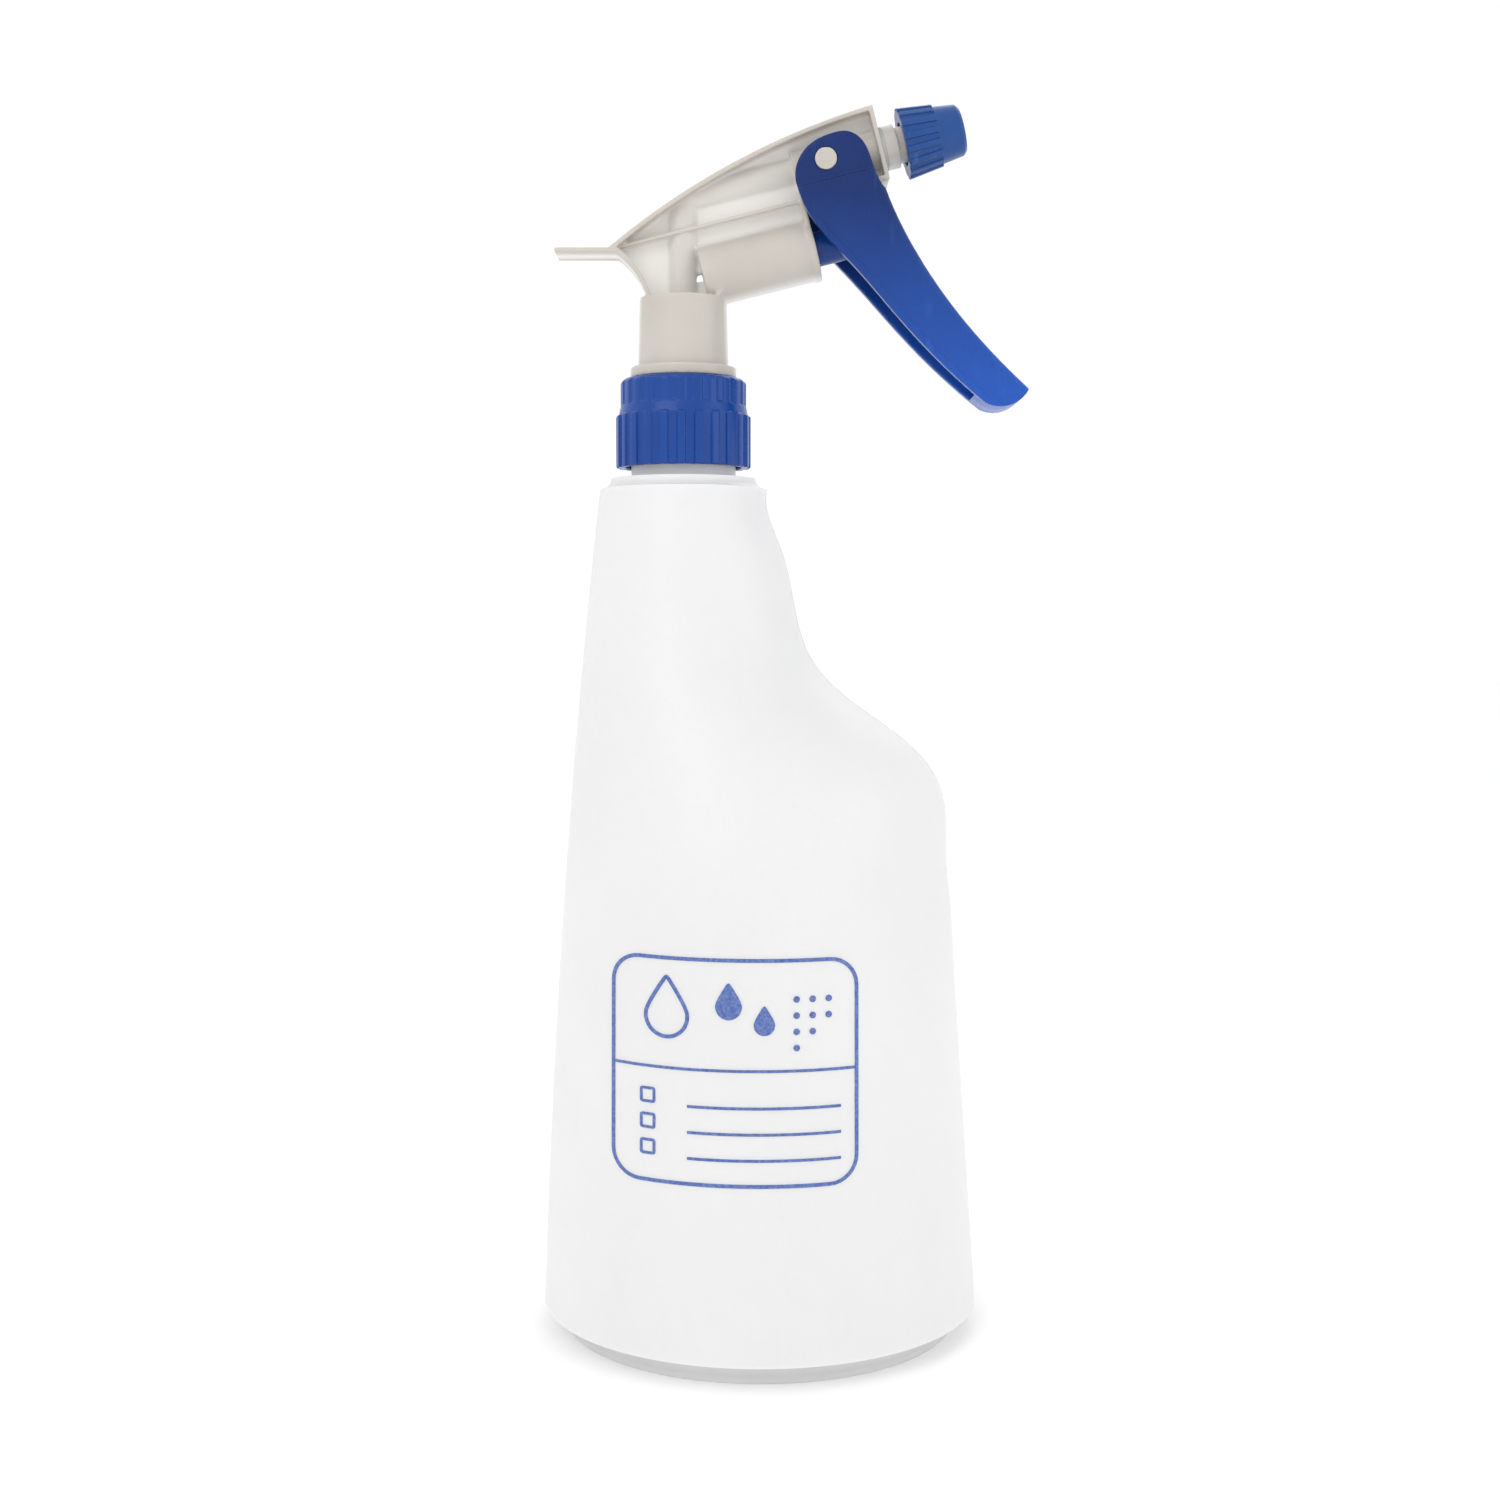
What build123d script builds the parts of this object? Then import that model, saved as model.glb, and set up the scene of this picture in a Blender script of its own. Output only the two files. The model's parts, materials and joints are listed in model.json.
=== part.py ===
"""Trigger spray bottle: a tapered bottle with a screw neck at its rear, and a trigger sprayer screwed on.

Millimetres, +Z up, +X the way it sprays. The origin is the centre of the bottle's base, on the floor.
The sprayer's barrel and cylinder are tilted, so their sizes are given in the spray view: u runs along
the barrel towards the nozzle and v square to it, upwards, both counted from the trigger's pivot.
"""

from build123d import *
import os
from math import atan2, cos, degrees, radians, sin, sqrt

# ------------------------------------------------------------------ driving sizes
# bottle
base_radius = 53.0
shoulder_z = 206.0
shoulder_radius = 20.0
neck_x = -18.5
wall = 1.4
heel_radius = 5.5
push_up_radius = 41.0
push_up_height = 4.5
belly_taper = 0.066
rear_bulge = 2.0
grip_length = 39.5
slope_length = 39.0
grip_flare = 0.24
grip_flare_sideways = 0.16
shoulder_fillet = 2.5
station_count = 14

# bottle neck and screw thread
neck_radius = 12.6
neck_bore = 10.6
neck_height = 18.0
neck_lip = 0.4
thread_pitch = 4.233
thread_turns = 1.5
thread_depth = 1.15
thread_root = 2.2
thread_crest = 1.0
thread_below_rim = 1.6

# clearances
gap = 0.05
play = 0.3
thread_gap = 0.3

# screw cap
cap_wall = 1.1
cap_step = 0.5
cap_rib_height = 0.6
cap_rib_width = 1.9
cap_rib_count = 24
cap_flute_depth = 0.35
cap_flute_width = 2.0
cap_skirt_gap = 2.6
cap_top_thickness = 2.5
cap_shoulder_drop = 6.4
cap_shoulder_slope = 2.4
cap_edge = 0.9

# neck gasket and closure insert
gasket_thickness = 1.2
gasket_inner = 9.4
flange_thickness = 1.8
flange_radius = 12.6
sleeve_radius = 9.2
sleeve_wall = 1.2
sleeve_height = 9.0
vent_radius = 0.7
vent_distance = 6.4
vent_flap_thickness = 0.6
tube_socket_length = 10.0
tube_socket_wall = 1.4

# dip tube and strainer
tube_radius = 3.0
tube_bore = 2.2
tube_floor_gap = 3.0
strainer_wall = 1.1
strainer_length = 15.0
strainer_grip = 6.0
strainer_slot = 1.0
strainer_slot_count = 6

# valves
ball_radius = 2.2
ball_lift = 1.2
seat_bore = 1.5
valve_wall = 1.6
valve_plug_depth = 4.0
outlet_head_radius = 2.3
outlet_head_length = 1.6
outlet_stem_radius = 0.8
outlet_stem_length = 3.2
chamber_radius = 2.7
chamber_length = 11.0

# sprayer body
spray_tilt = 14.0
pivot_ahead = 34.0
pivot_above_skirt = 31.3
collar_radius = 12.8
collar_thickness = 2.5
skirt_height = 19.1
skirt_draft = 0.5
skirt_wall = 1.7
skirt_roof = 2.6
body_width = 12.0
rim_thickness = 1.1
web_thickness = 1.6
riser_radius = 3.5
riser_bore = 1.4
barrel_level = 0.7
barrel_radius = 3.2
barrel_bore = 1.4
gallery_level = -1.2
gallery_bore = 1.0
gallery_front_u = -26.0
housing_radius = 4.9
housing_back_u = -7.5
front_u = 14.0
front_top_v = 10.3
rib_v = -7.05
rib_width = 8.0
rib_thickness = 0.9
tail_length = 12.9
tail_root_x = -17.6
tail_overlap = 1.6
tail_thickness = 1.2
tail_above_skirt = 10.1
saddle_x = -11.4
saddle_rise = 5.6
saddle_foot_x = -8.3
rim_middle = (-19.5, 5.6)

# pump: cylinder, piston and spring
cylinder_level = -18.4
cylinder_bore = 6.2
cylinder_wall = 1.2
cylinder_bead = 0.3
cylinder_bead_length = 1.6
cylinder_mouth_u = -7.0
cylinder_depth = 26.5
port_radius = 1.1
piston_radius = 4.25
piston_hollow = 3.3
piston_end_gap = 0.6
piston_land = 1.2
piston_land_gap = 0.3
seal_step = 0.3
seal_length = 4.0
seal_gap = 0.05
seal_lip = 0.9
nose_radius = 2.2
nose_centre_u = 7.8
nose_cone_length = 5.0
nose_slope = 50
spring_radius = 2.7
spring_wire = 0.8
spring_turns = 9

# trigger
trigger_angle = 22.0
ear_gap = 0.4
ear_thickness = 1.4
lever_wall = 2.0
rim_height = 0.5
lever_rim = 1.8
finger_wall = 2.0
boss_radius = 2.6
boss_proud = 0.4
push_gap = 0.03
push_pad_width = 7.0
pad_slope = 1.5
step_v = -5.0
taper_v = -28.0
tip_half_width = 7.2

# nozzle
plug_radius = 3.6
plug_back_u = 5.5
base_gasket_thickness = 0.8
base_flange_radius = 5.2
base_flange_length = 2.9
nozzle_root = 4.3
nozzle_thread_depth = 0.6
nozzle_pitch = 1.5
nozzle_turns = 3.0
nozzle_thread_root = 0.8
nozzle_thread_crest = 0.4
nozzle_thread_end = 1.0
nozzle_step = 0.6
spigot_radius = 3.4
spigot_groove = 0.5
spigot_length = 3.4
spigot_front_u = 30.0
cap_back_u = 19.45
nozzle_length = 14.6
nozzle_back_radius = 8.0
nozzle_front_radius = 6.1
nozzle_edge = 0.8
nozzle_rib_height = 0.5
nozzle_rib_width = 1.5
nozzle_rib_count = 16
nozzle_rib_length = 8.5
nozzle_front_bore = 4.0
core_radius = 2.0
core_length = 6.0
core_groove = 0.5
base_bore = 1.2
disc_thickness = 1.0
orifice_radius = 0.45
orifice_flare = 1.6
outlet_spring_radius = 1.5
outlet_spring_wire = 0.4
outlet_spring_turns = 5

# ------------------------------------------------------------------ places that follow
rim_z = shoulder_z + neck_height
flange_z = rim_z + gasket_thickness
flange_top_z = flange_z + flange_thickness
cap_roof_z = flange_top_z + play
cap_top_z = cap_roof_z + cap_top_thickness
collar_z = cap_top_z + play
skirt_top_z = collar_z + skirt_height
skirt_bottom_z = flange_top_z + gap
skirt_bore = sleeve_radius + gap
skirt_radius = skirt_bore + skirt_wall
cap_bottom_z = shoulder_z + cap_skirt_gap
cap_bore = neck_radius + thread_depth + thread_gap
cap_radius = cap_bore + cap_wall

spray_lean = radians(spray_tilt)
pivot = Vector(neck_x + pivot_ahead, 0, skirt_top_z + pivot_above_skirt)
spray = Vector(cos(spray_lean), 0, sin(spray_lean))
across = Vector(-sin(spray_lean), 0, cos(spray_lean))
upright_view = Plane(origin=(neck_x, 0, 0), x_dir=(1, 0, 0), z_dir=(0, -1, 0))
spray_view = Plane(origin=pivot, x_dir=spray, z_dir=(0, -1, 0))
neck_axis = Axis((neck_x, 0, 0), (0, 0, 1))

cylinder_end_u = cylinder_mouth_u - cylinder_depth
cylinder_radius = cylinder_bore + cylinder_wall
ear_inside = cylinder_radius + cylinder_bead + ear_gap
ear_outside = ear_inside + ear_thickness
lever_outside = ear_inside + lever_wall
nose_tip_u = nose_centre_u + nose_radius
stroke = -cylinder_level * radians(trigger_angle)


def spray_point(u, v):
    """A point given in the spray view, in the part's own frame."""
    return pivot + spray * u + across * v


def in_spray_view(x, z):
    """A place given by its distance ahead of the neck's axis and its height, in the spray view."""
    ahead = neck_x + x - pivot.X
    above = z - pivot.Z
    return (
        ahead * cos(spray_lean) + above * sin(spray_lean),
        above * cos(spray_lean) - ahead * sin(spray_lean),
    )


def turn(view, axis, outline, mode):
    """Turns a closed outline, drawn in a view, about an axis in that view."""
    with BuildSketch(view) as profile:
        with BuildLine():
            Polyline(*outline, close=True)
        make_face()
    revolve(profile.sketch, axis=axis, mode=mode)


def turn_upright(outline, mode=Mode.ADD):
    """Turns an outline of (radius, height) about the neck's axis."""
    turn(upright_view, neck_axis, outline, mode)


def turn_along(level, outline, mode=Mode.ADD):
    """Turns an outline of (u, radius) about the line along the spray at v = level."""
    axis = Axis(spray_point(0, level), spray)
    turn(spray_view, axis, [(u, level + radius) for u, radius in outline], mode)


def helix_ridge(centre, direction, radius, depth, pitch, turns, root, crest, inward=False):
    """A screw ridge that stands depth out of a wall of that radius, or inward out of its bore."""
    overlap = 0.15
    sign = -1 if inward else 1
    with BuildPart() as ridge:
        with BuildLine() as path:
            Helix(pitch, pitch * turns, radius, center=centre, direction=direction)
        start = path.line @ 0
        out = (start - Vector(*centre)).normalized()
        with BuildSketch(Plane(origin=start, x_dir=out, z_dir=path.line % 0)):
            with BuildLine():
                Polyline(
                    (-sign * overlap, -root / 2),
                    (sign * depth, -crest / 2),
                    (sign * depth, crest / 2),
                    (-sign * overlap, root / 2),
                    close=True,
                )
            make_face()
        sweep(path=path.line, is_frenet=True)
    return ridge.part


def coil(start, direction, radius, wire, length, turns):
    """A round-wire spring of that overall length, from a start along a direction."""
    run = length - wire
    first = start + direction * (wire / 2)
    with BuildPart() as spring:
        with BuildLine() as path:
            Helix(run / turns, run, radius, center=first, direction=direction)
        with BuildSketch(Plane(origin=path.line @ 0, z_dir=path.line % 0)):
            Circle(wire / 2)
        sweep(path=path.line, is_frenet=True)
    return spring.part


# ------------------------------------------------------------------ bottle
belly_z = shoulder_z - grip_length - slope_length
neck_thread_z = rim_z - thread_below_rim - thread_pitch * thread_turns - thread_root / 2


def ease(low, high, z):
    """Goes smoothly from 0 at low to 1 at high."""
    t = min(1.0, max(0.0, (z - low) / (high - low)))
    return t * t * (3 - 2 * t)


def bottle_station(z):
    """The bottle's level section at a height: its rear x, its front x and its half width."""
    rise = z - heel_radius
    share = rise / (shoulder_z - shoulder_fillet - heel_radius)
    rear_top = neck_x - shoulder_radius
    rear = -base_radius + share * (rear_top + base_radius) - rear_bulge * 4 * share * (1 - share)
    belly = base_radius - belly_taper * rise
    grip = neck_x + shoulder_radius + grip_flare * (shoulder_z - shoulder_fillet - z)
    scoop = ease(belly_z, belly_z + slope_length, z)
    front = belly * (1 - scoop) + grip * scoop
    grip_side = shoulder_radius + grip_flare_sideways * (shoulder_z - shoulder_fillet - z)
    shrink = ease(belly_z - slope_length / 3, belly_z + slope_length * 1.15, z)
    half_width = belly * (1 - shrink) + grip_side * shrink
    return rear, front, half_width


def rounded_end(view, axis, radius, corner, flat_z, side_z):
    """A short round slab whose edge is rounded from its flat face at flat_z to its side at side_z."""
    up = 1 if side_z > flat_z else -1
    with BuildSketch(view) as profile:
        with BuildLine():
            Line((0, flat_z), (radius - corner, flat_z))
            RadiusArc((radius - corner, flat_z), (radius, side_z), up * corner)
            Polyline((radius, side_z), (0, side_z), (0, flat_z))
        make_face()
    revolve(profile.sketch, axis=axis)


def bottle_form(inset):
    """The bottle below its neck, drawn in by inset all over."""
    low = heel_radius
    high = shoulder_z - shoulder_fillet
    with BuildPart() as form:
        for i in range(station_count + 1):
            z = low + (high - low) * i / station_count
            rear, front, half_width = bottle_station(z)
            with BuildSketch(Plane.XY.offset(z)):
                with Locations(((rear + front) / 2, 0)):
                    Ellipse((front - rear) / 2 - inset, half_width - inset)
        loft()
        rounded_end(Plane.XZ, Axis.Z, base_radius - inset, low - inset, inset, low)
        rounded_end(upright_view, neck_axis, shoulder_radius - inset, shoulder_z - inset - high,
                    shoulder_z - inset, high)
    return form.part


def dome(radius, height):
    """A shallow cap of a ball that stands on the floor, for the raised middle of the base."""
    ball = (radius**2 + height**2) / (2 * height)
    with BuildPart() as cap:
        with BuildSketch(Plane.XZ):
            with BuildLine():
                RadiusArc((radius, 0), (0, height), -ball)
                Polyline((0, height), (0, 0), (radius, 0))
            make_face()
        revolve(axis=Axis.Z)
    return cap.part


outside = bottle_form(0)
inside = bottle_form(wall)
raised_base = dome(push_up_radius, push_up_height)
raised_floor = dome(push_up_radius + 2 * wall, push_up_height + wall)
neck_thread = helix_ridge(
    (neck_x, 0, neck_thread_z), (0, 0, 1), neck_radius, thread_depth,
    thread_pitch, thread_turns, thread_root, thread_crest,
)

with BuildPart() as bottle:
    add(outside)
    turn_upright([(0, shoulder_z - 1), (neck_radius, shoulder_z - 1), (neck_radius, rim_z - neck_lip),
                  (neck_radius - neck_lip, rim_z), (0, rim_z)])
    add(neck_thread)
    add(inside - raised_floor, mode=Mode.SUBTRACT)
    add(raised_base, mode=Mode.SUBTRACT)
    turn_upright([(0, shoulder_z - 2 * wall), (neck_bore, shoulder_z - 2 * wall),
                  (neck_bore, rim_z + 1), (0, rim_z + 1)], Mode.SUBTRACT)
bottle.part.label = "bottle"

# ------------------------------------------------------------------ screw cap
cap_thread = helix_ridge(
    (neck_x, 0, neck_thread_z - thread_pitch / 2), (0, 0, 1), cap_bore, thread_depth,
    thread_pitch, thread_turns, thread_root, thread_crest, inward=True,
)

with BuildPart() as screw_cap:
    low_radius = cap_radius + cap_step
    shoulder_low = cap_top_z - cap_shoulder_drop - cap_shoulder_slope
    turn_upright([
        (0, cap_bottom_z), (low_radius, cap_bottom_z), (low_radius, shoulder_low),
        (cap_radius, shoulder_low + cap_shoulder_slope), (cap_radius, cap_top_z - cap_edge),
        (cap_radius - cap_edge, cap_top_z), (0, cap_top_z),
    ])
    rib_length = shoulder_low - cap_bottom_z
    flute_low = shoulder_low + cap_shoulder_slope
    with Locations((neck_x, 0, cap_bottom_z)):
        with PolarLocations(low_radius, cap_rib_count):
            Box(2 * cap_rib_height, cap_rib_width, rib_length, align=(Align.CENTER, Align.CENTER, Align.MIN))
    with Locations((neck_x, 0, flute_low)):
        with PolarLocations(cap_radius, cap_rib_count, start_angle=180 / cap_rib_count):
            Box(2 * cap_flute_depth, cap_flute_width, cap_top_z - flute_low + 1,
                align=(Align.CENTER, Align.CENTER, Align.MIN), mode=Mode.SUBTRACT)
    turn_upright([(0, cap_bottom_z - 1), (cap_bore, cap_bottom_z - 1),
                  (cap_bore, cap_roof_z), (0, cap_roof_z)], Mode.SUBTRACT)
    add(cap_thread)
    hole = skirt_radius + play
    turn_upright([(0, cap_roof_z - 1), (hole, cap_roof_z - 1),
                  (hole, cap_top_z + 1), (0, cap_top_z + 1)], Mode.SUBTRACT)
screw_cap.part.label = "screw_cap"

# ------------------------------------------------------------------ gasket, closure insert and inlet ball
with BuildPart() as neck_gasket:
    turn_upright([(gasket_inner, rim_z), (flange_radius, rim_z),
                  (flange_radius, flange_z), (gasket_inner, flange_z)])
neck_gasket.part.label = "neck_gasket"

socket_bore = tube_radius + gap
socket_radius = socket_bore + tube_socket_wall
socket_low_z = flange_z - tube_socket_length
seat_z = flange_z + flange_thickness
ball_centre_z = seat_z + sqrt(ball_radius**2 - seat_bore**2) + gap
ball_bore = ball_radius + play
post_radius = ball_bore + valve_wall
post_top_z = ball_centre_z + ball_radius + ball_lift + valve_plug_depth

with BuildPart() as closure_insert:
    sleeve_top_z = flange_top_z + sleeve_height
    turn_upright([(0, flange_z), (flange_radius, flange_z), (flange_radius, flange_top_z),
                  (sleeve_radius, flange_top_z), (sleeve_radius, sleeve_top_z),
                  (sleeve_radius - sleeve_wall, sleeve_top_z), (sleeve_radius - sleeve_wall, flange_top_z),
                  (post_radius, flange_top_z), (post_radius, post_top_z), (0, post_top_z)])
    turn_upright([(0, socket_low_z), (socket_radius, socket_low_z),
                  (socket_radius, flange_z + 1), (0, flange_z + 1)])
    turn_upright([(0, socket_low_z - 1), (socket_bore, socket_low_z - 1), (socket_bore, flange_z - 1),
                  (seat_bore, flange_z - 1), (seat_bore, seat_z), (0, seat_z)], Mode.SUBTRACT)
    turn_upright([(0, seat_z), (ball_bore, seat_z), (ball_bore, post_top_z + 1), (0, post_top_z + 1)],
                 Mode.SUBTRACT)
    with Locations((neck_x, vent_distance, flange_z)):
        Cylinder(vent_radius, 3 * flange_thickness, mode=Mode.SUBTRACT)
closure_insert.part.label = "closure_insert"

with BuildPart() as vent_flap:
    flap_low_z = flange_top_z + gap
    flap_radius = sleeve_radius - sleeve_wall - gap
    turn_upright([(post_radius + gap, flap_low_z), (flap_radius, flap_low_z),
                  (flap_radius, flap_low_z + vent_flap_thickness),
                  (post_radius + gap, flap_low_z + vent_flap_thickness)])
vent_flap.part.label = "vent_flap"

with BuildPart() as inlet_ball:
    with Locations((neck_x, 0, ball_centre_z)):
        Sphere(ball_radius)
inlet_ball.part.label = "inlet_ball"

# ------------------------------------------------------------------ dip tube and strainer
floor_under_tube = (push_up_height + wall) * (1 - (neck_x / (push_up_radius + 2 * wall)) ** 2)
strainer_radius = tube_radius + gap + strainer_wall
strainer_low_z = floor_under_tube + tube_floor_gap
strainer_top_z = strainer_low_z + strainer_length
tube_low_z = strainer_top_z - strainer_grip
tube_top_z = flange_z - 1 - gap

with BuildPart() as dip_tube:
    turn_upright([(tube_bore, tube_low_z), (tube_radius, tube_low_z),
                  (tube_radius, tube_top_z), (tube_bore, tube_top_z)])
dip_tube.part.label = "dip_tube"

with BuildPart() as strainer:
    turn_upright([(0, strainer_low_z), (strainer_radius, strainer_low_z),
                  (strainer_radius, strainer_top_z), (0, strainer_top_z)])
    turn_upright([(0, strainer_low_z + strainer_wall), (tube_bore, strainer_low_z + strainer_wall),
                  (tube_bore, tube_low_z - gap), (tube_radius + gap, tube_low_z - gap),
                  (tube_radius + gap, strainer_top_z + 1), (0, strainer_top_z + 1)], Mode.SUBTRACT)
    slot_length = tube_low_z - strainer_low_z - 3 * strainer_wall
    with Locations((neck_x, 0, strainer_low_z + 1.5 * strainer_wall)):
        with PolarLocations(strainer_radius, strainer_slot_count):
            Box(4 * strainer_wall, strainer_slot, slot_length, align=(Align.CENTER, Align.CENTER, Align.MIN),
                mode=Mode.SUBTRACT)
strainer.part.label = "strainer"

# ------------------------------------------------------------------ sprayer body
tail_root = in_spray_view(tail_root_x, skirt_top_z + tail_above_skirt + tail_thickness)
saddle_middle = in_spray_view(saddle_x, skirt_top_z + saddle_rise)
saddle_low = in_spray_view(saddle_foot_x, skirt_top_z - skirt_roof / 2)
roof_front = in_spray_view(skirt_radius - skirt_roof, skirt_top_z - skirt_roof / 2)
rib_low_v = rib_v - rib_thickness / 2
riser_top_z = pivot.Z - (pivot_ahead * sin(spray_lean) - barrel_level) / cos(spray_lean)
gallery_z = pivot.Z - (pivot_ahead * sin(spray_lean) - gallery_level) / cos(spray_lean)
gallery_back_u = in_spray_view(0, gallery_z)[0]
pin_length = ear_outside + boss_proud
plug_low_z = ball_centre_z + ball_radius + ball_lift

with BuildPart() as sprayer_body:
    # web with a flange all round it: top rim, front plate, lower rib, mouth plate and rear saddle
    with BuildSketch(spray_view) as side_view:
        with BuildLine():
            ThreePointArc(tail_root, rim_middle, (front_u, front_top_v))
            Polyline((front_u, front_top_v), (front_u, rib_low_v), (cylinder_mouth_u, rib_low_v),
                     (cylinder_mouth_u, cylinder_level), (cylinder_end_u + cylinder_bore, cylinder_level),
                     roof_front, saddle_low)
            ThreePointArc(saddle_low, saddle_middle, tail_root)
        make_face()
    extrude(side_view.sketch, amount=web_thickness / 2, both=True)
    with BuildSketch(spray_view) as flanges:
        add(side_view.sketch_local)
        offset(amount=-rim_thickness, mode=Mode.SUBTRACT)
    extrude(flanges.sketch, amount=body_width / 2, both=True)
    # tongue at the back and the ribs along the web
    with BuildSketch(upright_view) as tongue:
        with Locations((tail_root_x + tail_overlap, skirt_top_z + tail_above_skirt)):
            Rectangle(tail_length + tail_overlap, tail_thickness, align=(Align.MAX, Align.MIN))
    extrude(tongue.sketch, amount=body_width / 2, both=True)
    with BuildSketch(spray_view) as ribs:
        with Locations(((tail_root[0] + cylinder_mouth_u) / 2 + 1, rib_v)):
            Rectangle(cylinder_mouth_u - tail_root[0] - 2, rib_thickness)
    extrude(ribs.sketch, amount=rib_width / 2, both=True)
    # skirt with its collar, and the riser
    turn_upright([(0, skirt_bottom_z), (skirt_radius, skirt_bottom_z), (skirt_radius, collar_z),
                  (collar_radius, collar_z), (collar_radius, collar_z + collar_thickness),
                  (skirt_radius, collar_z + collar_thickness), (skirt_radius - skirt_draft, skirt_top_z),
                  (0, skirt_top_z)])
    turn_upright([(0, skirt_top_z - 1), (riser_radius, skirt_top_z - 1),
                  (riser_radius, riser_top_z), (0, riser_top_z)])
    with Locations((neck_x, 0, riser_top_z)):
        Sphere(riser_radius)
    # barrel, valve housing and pump cylinder
    turn_along(barrel_level, [(cylinder_end_u - 1, 0), (cylinder_end_u - 1, barrel_radius),
                              (housing_back_u, barrel_radius), (housing_back_u, housing_radius),
                              (front_u, housing_radius), (front_u, 0)])
    turn_along(cylinder_level, [
        (cylinder_end_u - cylinder_wall, 0), (cylinder_end_u - cylinder_wall, cylinder_radius),
        (cylinder_mouth_u - cylinder_bead_length, cylinder_radius),
        (cylinder_mouth_u - cylinder_bead_length, cylinder_radius + cylinder_bead),
        (cylinder_mouth_u, cylinder_radius + cylinder_bead), (cylinder_mouth_u, 0),
    ])
    # nothing stands above the rim
    with BuildSketch(spray_view) as above_rim:
        with BuildLine():
            ThreePointArc(tail_root, rim_middle, (front_u, front_top_v))
            Polyline((front_u, front_top_v), (front_u, 3 * front_top_v), (tail_root[0], 3 * front_top_v), tail_root)
        make_face()
    extrude(above_rim.sketch, amount=riser_radius, both=True, mode=Mode.SUBTRACT)
    # the pins that the trigger turns on
    with BuildSketch(spray_view) as pin:
        Circle(boss_radius)
    extrude(pin.sketch, amount=pin_length, both=True)
    # inside: skirt, inlet plug, riser, barrel, valve chamber, nozzle socket and pump bore
    turn_upright([(0, skirt_bottom_z - 1), (skirt_bore, skirt_bottom_z - 1),
                  (skirt_bore, skirt_top_z - skirt_roof), (0, skirt_top_z - skirt_roof)], Mode.SUBTRACT)
    plug_fit = ball_bore - gap
    turn_upright([(0, plug_low_z), (plug_fit, plug_low_z), (plug_fit, post_top_z + gap),
                  (riser_radius, post_top_z + gap), (riser_radius, skirt_top_z - 1), (0, skirt_top_z - 1)])
    turn_upright([(0, plug_low_z - 1), (riser_bore, plug_low_z - 1),
                  (riser_bore, gallery_z), (0, gallery_z)], Mode.SUBTRACT)
    with Locations((neck_x, 0, plug_low_z)):
        Box(3 * riser_radius, strainer_slot, 2 * strainer_slot, mode=Mode.SUBTRACT)
    chamber_back_u = plug_back_u - chamber_length
    turn_along(gallery_level, [(gallery_back_u, 0), (gallery_back_u, gallery_bore),
                               (gallery_front_u, gallery_bore), (gallery_front_u, 0)], Mode.SUBTRACT)
    turn_along(barrel_level, [(gallery_front_u - 2 * barrel_bore, 0),
                              (gallery_front_u - 2 * barrel_bore, barrel_bore),
                              (chamber_back_u, barrel_bore),
                              (chamber_back_u, chamber_radius), (plug_back_u, chamber_radius),
                              (plug_back_u, plug_radius + gap), (front_u + 1, plug_radius + gap),
                              (front_u + 1, 0)], Mode.SUBTRACT)
    turn_along(cylinder_level, [(cylinder_end_u, 0), (cylinder_end_u, cylinder_bore),
                                (cylinder_mouth_u + 1, cylinder_bore),
                                (cylinder_mouth_u + 1, 0)], Mode.SUBTRACT)
    port_end_u = -(pivot_ahead + cylinder_level * -sin(spray_lean)) / cos(spray_lean)
    turn_along(cylinder_level, [(port_end_u, 0), (port_end_u, port_radius),
                                (cylinder_end_u + 1, port_radius), (cylinder_end_u + 1, 0)], Mode.SUBTRACT)
sprayer_body.part.label = "sprayer_body"

# ------------------------------------------------------------------ outlet valve and its spring
seat_gap = gap
valve_u = chamber_back_u + seat_gap
valve_back_u = valve_u + outlet_head_length

with BuildPart() as outlet_valve:
    turn_along(barrel_level, [(valve_u, 0), (valve_u, outlet_head_radius), (valve_back_u, outlet_head_radius),
                              (valve_back_u, outlet_stem_radius),
                              (valve_back_u + outlet_stem_length, outlet_stem_radius),
                              (valve_back_u + outlet_stem_length, 0)])
    with Locations(Plane(origin=spray_point(valve_u - barrel_bore / 2, barrel_level), z_dir=spray)):
        Cone(barrel_bore / 3, barrel_bore * 0.8, barrel_bore)
outlet_valve.part.label = "outlet_valve"

outlet_spring_start = spray_point(valve_back_u + gap, barrel_level)
outlet_spring_length = plug_back_u - valve_back_u - 2 * gap
outlet_spring = coil(outlet_spring_start, spray, outlet_spring_radius, outlet_spring_wire,
                     outlet_spring_length, outlet_spring_turns)
outlet_spring.label = "outlet_spring"

# ------------------------------------------------------------------ piston, its seal and its spring
piston_back_u = cylinder_end_u + piston_end_gap + stroke
seal_front_u = piston_back_u + seal_length
seal_inner = piston_radius - piston_land_gap - seal_step

with BuildPart() as piston:
    shaft_front_u = nose_centre_u - nose_cone_length
    nose_edge_u = nose_centre_u + nose_radius * cos(radians(nose_slope))
    turn_along(cylinder_level, [
        (piston_back_u + gap, 0), (piston_back_u + gap, seal_inner), (seal_front_u + gap, seal_inner),
        (seal_front_u + gap, cylinder_bore - piston_land_gap),
        (seal_front_u + gap + piston_land, cylinder_bore - piston_land_gap),
        (seal_front_u + gap + piston_land, piston_radius),
        (shaft_front_u, piston_radius), (nose_edge_u, nose_radius * sin(radians(nose_slope))),
        (nose_edge_u, 0),
    ])
    with Locations(spray_point(nose_centre_u, cylinder_level)):
        Sphere(nose_radius)
    turn_along(cylinder_level, [(piston_back_u - 1, 0), (piston_back_u - 1, piston_hollow),
                                (shaft_front_u - piston_land, piston_hollow),
                                (shaft_front_u - piston_land, 0)], Mode.SUBTRACT)
piston.part.label = "piston"

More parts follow.
